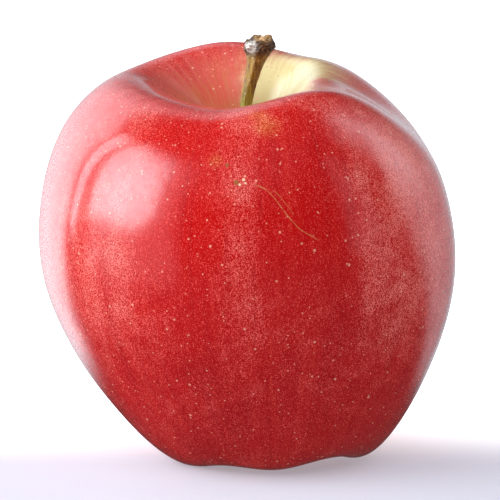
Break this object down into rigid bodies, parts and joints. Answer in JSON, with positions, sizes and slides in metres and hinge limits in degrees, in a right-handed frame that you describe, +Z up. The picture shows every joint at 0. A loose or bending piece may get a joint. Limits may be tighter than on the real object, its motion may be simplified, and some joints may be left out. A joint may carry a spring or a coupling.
{
  "type": "red apple",
  "caption": "Whole red apple with a woody stem in its upper cavity and a dried calyx in its lower basin, standing on its feet.",
  "frame": {"origin": "on the ground, under the middle of the fruit's outline seen from above", "axes": "+Z up from the calyx to the stem, -Y towards the picture's camera, +X to the right of the picture"},
  "size_m": [0.0782, 0.0765, 0.0795],
  "materials": {
    "skin": "smooth waxy skin, red with fine pale dots",
    "wood": "dry bark, olive to dark brown",
    "dried_leaf": "dry, matt and downy"
  },
  "bodies": {
    "root": {"fruit": "skin", "stem": "wood", "calyx": "dried_leaf"}
  },
  "joints": []
}
